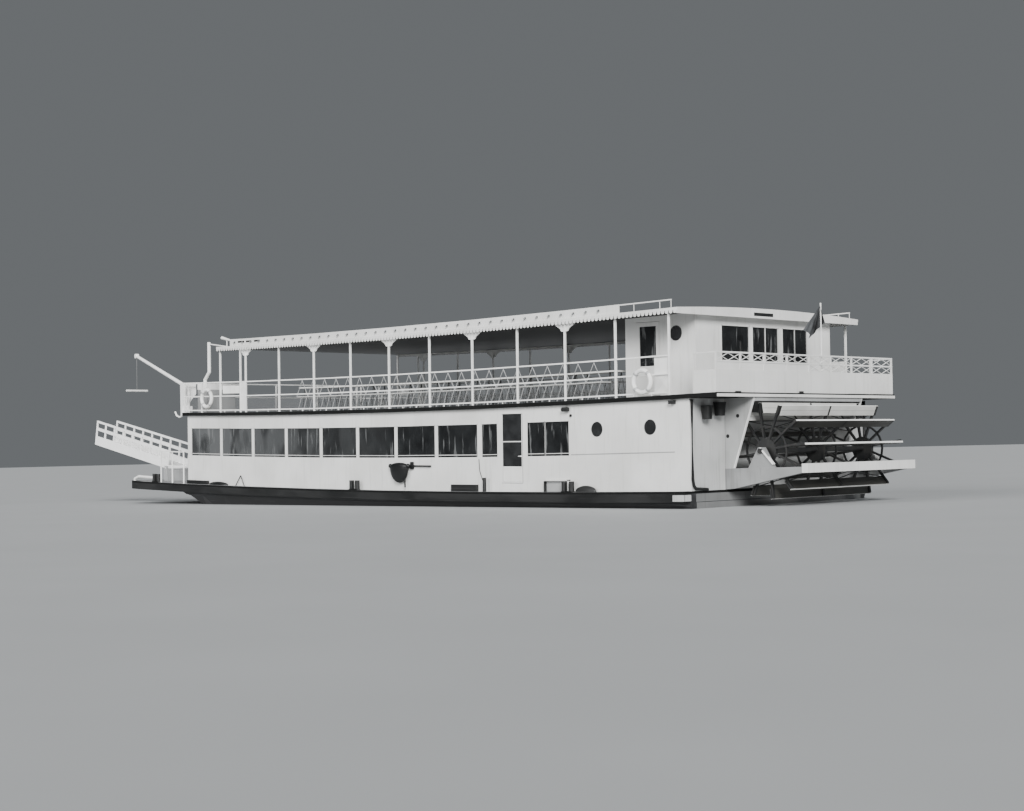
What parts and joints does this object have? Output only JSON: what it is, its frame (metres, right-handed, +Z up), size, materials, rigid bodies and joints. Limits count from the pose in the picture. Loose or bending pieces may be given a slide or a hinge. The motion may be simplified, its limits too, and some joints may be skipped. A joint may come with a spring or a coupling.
{
  "type": "paddle steamer",
  "caption": "Two-deck sternwheel river passenger boat with a long windowed house, open promenade under a roof, stern paddle wheel, and a bow landing stage under a davit boom.",
  "frame": {"origin": "centre of the hull's flat bottom, on the centreline", "axes": "+X to the bow along the boat's length, +Y to port, +Z up"},
  "size_m": [32.2421, 8.39, 6.4667],
  "materials": {
    "hull_paint": "satin dark paint, weathered at the waterline",
    "dark_paint": "matte black paint, scuffed",
    "deck_plank": "matte grey deck paint",
    "steel": "wet dark steel with streaks",
    "grey_paint": "satin light grey paint",
    "white_paint": "satin white paint",
    "buoy_white": "matte white with dark bands"
  },
  "bodies": {
    "boat": {"balcony_beam": "white_paint", "bow_rail": "white_paint", "bow_toe_rail_port": "white_paint", "bow_toe_rail_starboard": "white_paint", "cabin_wall_aft": "white_paint", "cabin_wall_forward": "white_paint", "cabin_wall_port": "white_paint", "cabin_wall_starboard": "white_paint", "colonnade_port": "white_paint", "colonnade_starboard": "white_paint", "cross_beam": "white_paint", "davit_stand": "white_paint", "engine_block": "steel", "flagstaff": "white_paint", "foredeck_rail_port": "white_paint", "foredeck_rail_starboard": "white_paint", "guard_strake": "dark_paint", "helm_console": "white_paint", "house_wall_aft": "white_paint", "house_wall_forward": "white_paint", "house_wall_port": "white_paint", "house_wall_starboard": "white_paint", "hull": "hull_paint", "lifebuoy_aft_port": "buoy_white", "lifebuoy_aft_starboard": "buoy_white", "lifebuoy_fore_port": "buoy_white", "lifebuoy_fore_starboard": "buoy_white", "main_deck": "deck_plank", "roof": "white_paint", "roof_board_port": "white_paint", "roof_board_starboard": "white_paint", "shaft_bearing_port": "steel", "shaft_bearing_starboard": "steel", "stage_stand": "grey_paint", "stair": "grey_paint", "stern_arm_port": "grey_paint", "stern_arm_starboard": "grey_paint", "stern_balustrade": "white_paint", "upper_deck_aft": "dark_paint", "upper_deck_fore": "dark_paint", "upper_deck_port": "dark_paint", "upper_deck_starboard": "dark_paint", "valance_port": "white_paint", "valance_starboard": "white_paint", "vent_pipe": "white_paint", "wing_plate_port": "grey_paint", "wing_plate_starboard": "grey_paint"},
    "wheel": {"paddle_wheel": "steel"},
    "port_rudder": {"rudder_port": "steel"},
    "starboard_rudder": {"rudder_starboard": "steel"},
    "stage": {"landing_stage": "white_paint"},
    "boom": {"boom": "white_paint"},
    "spreader": {"spreader": "white_paint"},
    "port_side_door": {"side_door_port": "white_paint"},
    "starboard_side_door": {"side_door_starboard": "white_paint"},
    "port_cabin_door": {"cabin_door_port": "white_paint"},
    "starboard_cabin_door": {"cabin_door_starboard": "white_paint"}
  },
  "joints": [
    {"name": "wheel_spin", "type": "hinge", "parent": "boat", "child": "wheel", "pos_m": [-13.958, 0, 2.522], "axis": [0, 1, 0], "continuous": true},
    {"name": "rudder_port_swing", "type": "hinge", "parent": "boat", "child": "port_rudder", "pos_m": [-11.75, 1.35, 0.4], "axis": [0, 0, 1], "range_deg": [-35, 35]},
    {"name": "rudder_starboard_swing", "type": "hinge", "parent": "boat", "child": "starboard_rudder", "pos_m": [-11.75, -1.35, 0.4], "axis": [0, 0, 1], "range_deg": [-35, 35]},
    {"name": "stage_lift", "type": "hinge", "parent": "boat", "child": "stage", "pos_m": [11.9, 2.79, 2.02], "axis": [0, -1, 0], "range_deg": [-25, 8]},
    {"name": "boom_luff", "type": "hinge", "parent": "boat", "child": "boom", "pos_m": [10.14, 3.7, 4.96161], "axis": [-0.2079, -0.9781, 0], "range_deg": [-10, 20]},
    {"name": "spreader_hang", "type": "hinge", "parent": "boom", "child": "spreader", "pos_m": [14.63733, 2.74406, 6.19359], "axis": [-0.2079, -0.9781, 0], "range_deg": [-20, 10]},
    {"name": "side_door_port_swing", "type": "hinge", "parent": "boat", "child": "port_side_door", "pos_m": [-6.0603, 3.94, 1.425], "axis": [0, 0, -1], "range_deg": [0, 110]},
    {"name": "side_door_starboard_swing", "type": "hinge", "parent": "boat", "child": "starboard_side_door", "pos_m": [-6.0603, -3.94, 1.425], "axis": [0, 0, 1], "range_deg": [0, 110]},
    {"name": "cabin_door_port_swing", "type": "hinge", "parent": "boat", "child": "port_cabin_door", "pos_m": [-10.3503, 3.04, 3.951], "axis": [0, 0, -1], "range_deg": [0, 95]},
    {"name": "cabin_door_starboard_swing", "type": "hinge", "parent": "boat", "child": "starboard_cabin_door", "pos_m": [-10.3503, -3.04, 3.951], "axis": [0, 0, 1], "range_deg": [0, 95]}
  ],
  "couplings": [
    {"joint": "rudder_starboard_swing", "follows": "rudder_port_swing", "ratio": 1},
    {"joint": "spreader_hang", "follows": "boom_luff", "ratio": -1}
  ]
}
